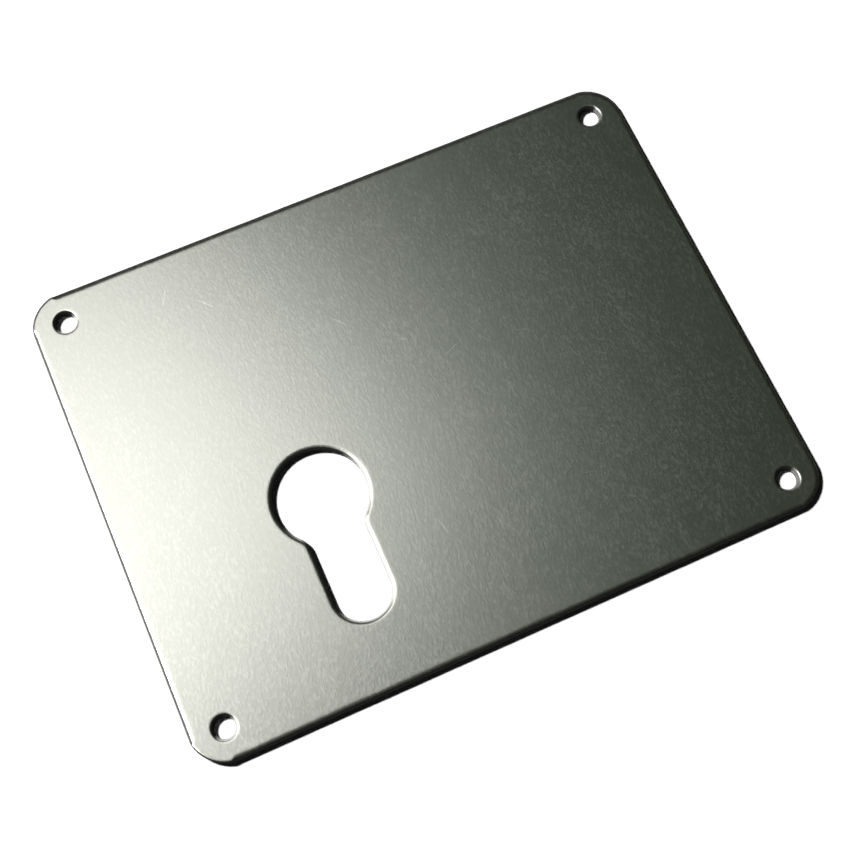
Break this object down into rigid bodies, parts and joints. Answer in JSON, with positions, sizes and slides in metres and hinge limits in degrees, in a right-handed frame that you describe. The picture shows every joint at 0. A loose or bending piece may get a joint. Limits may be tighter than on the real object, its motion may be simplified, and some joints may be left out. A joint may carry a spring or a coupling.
{
  "type": "cylinder escutcheon",
  "caption": "Flat rectangular sheet-metal escutcheon with rounded corners, a screw hole near each corner and an off-centre cut-out through which a profile lock cylinder passes.",
  "frame": {"origin": "centre of the plate's flat back, on the surface it lies on", "axes": "+X along the long sides; +Y up as fitted, from the fin of the cut-out to its barrel; +Z out of the front, the side with the rolled edges"},
  "size_m": [0.125, 0.096, 0.0015],
  "materials": {
    "plate": "satin rolled sheet, punched and sheared edges"
  },
  "bodies": {
    "root": {"plate": "plate"}
  },
  "joints": []
}
